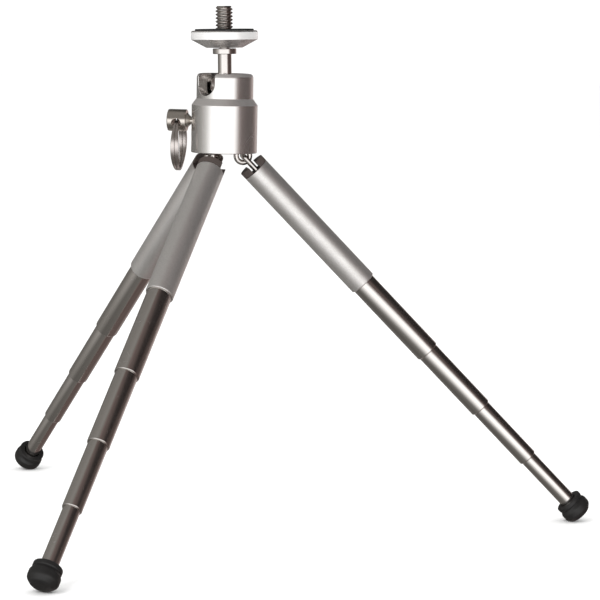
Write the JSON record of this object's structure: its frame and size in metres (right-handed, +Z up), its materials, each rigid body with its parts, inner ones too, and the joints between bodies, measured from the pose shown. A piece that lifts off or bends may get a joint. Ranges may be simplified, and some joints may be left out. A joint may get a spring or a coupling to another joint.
{
  "type": "tabletop tripod",
  "caption": "Folding tabletop tripod with a lockable ball head, quarter-inch camera screw and telescopic legs on chain-link hinges.",
  "frame": {"origin": "centre of the footprint box, on the floor under the feet", "axes": "+Z up; +X along the right leg; the front leg points to -X -Y, the rear leg to -X +Y and the clamp screw to -X and a little to +Y"},
  "size_m": [0.2128, 0.244, 0.1905],
  "materials": {
    "satin_aluminium": "satin turned aluminium",
    "plate_aluminium": "bright turned aluminium",
    "polished_steel": "bright nickel-chrome plated steel",
    "silver_lacquer": "satin silver lacquer with a fine metallic grain",
    "nickel": "polished nickel plating over brass tube",
    "brass": "plain brass, inside the mechanism",
    "dark_plastic": "dark brown moulded plastic",
    "black_rubber": "thin matt black rubber",
    "foot_rubber": "semi-matt black moulded rubber"
  },
  "bodies": {
    "head": {"housing": "satin_aluminium", "base_plug": "satin_aluminium", "pressure_plunger": "brass", "leg_eye_right": "polished_steel", "leg_eye_front": "polished_steel", "leg_eye_rear": "polished_steel"},
    "ball": {"pivot_ball": "polished_steel"},
    "platform": {"ball_stem": "polished_steel", "stem_collar": "polished_steel", "top_plate": "plate_aluminium", "plate_pad": "black_rubber", "camera_screw": "polished_steel"},
    "clamp": {"clamp_screw": "polished_steel"},
    "ring": {"split_ring": "polished_steel"},
    "leg_right": {"leg_link_right": "polished_steel", "leg_plug_right": "dark_plastic", "tube_1_right": "silver_lacquer"},
    "section_2_right": {"tube_2_right": "nickel", "sleeve_2_right": "brass"},
    "section_3_right": {"tube_3_right": "nickel", "sleeve_3_right": "brass"},
    "section_4_right": {"tube_4_right": "nickel", "sleeve_4_right": "brass"},
    "section_5_right": {"tube_5_right": "nickel", "sleeve_5_right": "brass", "foot_right": "foot_rubber"},
    "leg_front": {"leg_link_front": "polished_steel", "leg_plug_front": "dark_plastic", "tube_1_front": "silver_lacquer"},
    "section_2_front": {"tube_2_front": "nickel", "sleeve_2_front": "brass"},
    "section_3_front": {"tube_3_front": "nickel", "sleeve_3_front": "brass"},
    "section_4_front": {"tube_4_front": "nickel", "sleeve_4_front": "brass"},
    "section_5_front": {"tube_5_front": "nickel", "sleeve_5_front": "brass", "foot_front": "foot_rubber"},
    "leg_rear": {"leg_link_rear": "polished_steel", "leg_plug_rear": "dark_plastic", "tube_1_rear": "silver_lacquer"},
    "section_2_rear": {"tube_2_rear": "nickel", "sleeve_2_rear": "brass"},
    "section_3_rear": {"tube_3_rear": "nickel", "sleeve_3_rear": "brass"},
    "section_4_rear": {"tube_4_rear": "nickel", "sleeve_4_rear": "brass"},
    "section_5_rear": {"tube_5_rear": "nickel", "sleeve_5_rear": "brass", "foot_rear": "foot_rubber"}
  },
  "joints": [
    {"name": "head_tilt", "type": "hinge", "parent": "head", "child": "ball", "pos_m": [-0.0335, 0, 0.16074], "axis": [0.6293, -0.7771, 0], "range_deg": [-28.1, 88.9]},
    {"name": "head_pan", "type": "hinge", "parent": "ball", "child": "platform", "pos_m": [-0.0335, 0, 0.16074], "axis": [-0.027, 0.0028, 0.9996], "continuous": true},
    {"name": "clamp_turn", "type": "hinge", "parent": "head", "child": "clamp", "pos_m": [-0.0335, 0, 0.14855], "axis": [-0.9613, 0.2756, 0], "range_deg": [-90, 360]},
    {"name": "ring_swing", "type": "hinge", "parent": "clamp", "child": "ring", "pos_m": [-0.05013, 0.00477, 0.14855], "axis": [0.2674, 0.9327, 0.2419], "range_deg": [-5, 90]},
    {"name": "fold_right", "type": "hinge", "parent": "head", "child": "leg_right", "pos_m": [-0.02652, 0, 0.13608], "axis": [0, 1, 0], "range_deg": [0, 44.3]},
    {"name": "slide_2_right", "type": "slide", "parent": "leg_right", "child": "section_2_right", "axis": [-0.6984, 0, 0.7157], "range_m": [0, 0.0345]},
    {"name": "slide_3_right", "type": "slide", "parent": "section_2_right", "child": "section_3_right", "axis": [-0.6984, 0, 0.7157], "range_m": [0, 0.0285]},
    {"name": "slide_4_right", "type": "slide", "parent": "section_3_right", "child": "section_4_right", "axis": [-0.6984, 0, 0.7157], "range_m": [0, 0.0255]},
    {"name": "slide_5_right", "type": "slide", "parent": "section_4_right", "child": "section_5_right", "axis": [-0.6984, 0, 0.7157], "range_m": [0, 0.0215]},
    {"name": "fold_front", "type": "hinge", "parent": "head", "child": "leg_front", "pos_m": [-0.03699, -0.00604, 0.13608], "axis": [0.866, -0.5, 0], "range_deg": [0, 44.3]},
    {"name": "slide_2_front", "type": "slide", "parent": "leg_front", "child": "section_2_front", "axis": [0.3492, 0.6048, 0.7157], "range_m": [0, 0.0345]},
    {"name": "slide_3_front", "type": "slide", "parent": "section_2_front", "child": "section_3_front", "axis": [0.3492, 0.6048, 0.7157], "range_m": [0, 0.0285]},
    {"name": "slide_4_front", "type": "slide", "parent": "section_3_front", "child": "section_4_front", "axis": [0.3492, 0.6048, 0.7157], "range_m": [0, 0.0255]},
    {"name": "slide_5_front", "type": "slide", "parent": "section_4_front", "child": "section_5_front", "axis": [0.3492, 0.6048, 0.7157], "range_m": [0, 0.0215]},
    {"name": "fold_rear", "type": "hinge", "parent": "head", "child": "leg_rear", "pos_m": [-0.03699, 0.00604, 0.13608], "axis": [-0.866, -0.5, 0], "range_deg": [0, 44.3]},
    {"name": "slide_2_rear", "type": "slide", "parent": "leg_rear", "child": "section_2_rear", "axis": [0.3492, -0.6048, 0.7157], "range_m": [0, 0.0345]},
    {"name": "slide_3_rear", "type": "slide", "parent": "section_2_rear", "child": "section_3_rear", "axis": [0.3492, -0.6048, 0.7157], "range_m": [0, 0.0285]},
    {"name": "slide_4_rear", "type": "slide", "parent": "section_3_rear", "child": "section_4_rear", "axis": [0.3492, -0.6048, 0.7157], "range_m": [0, 0.0255]},
    {"name": "slide_5_rear", "type": "slide", "parent": "section_4_rear", "child": "section_5_rear", "axis": [0.3492, -0.6048, 0.7157], "range_m": [0, 0.0215]}
  ]
}
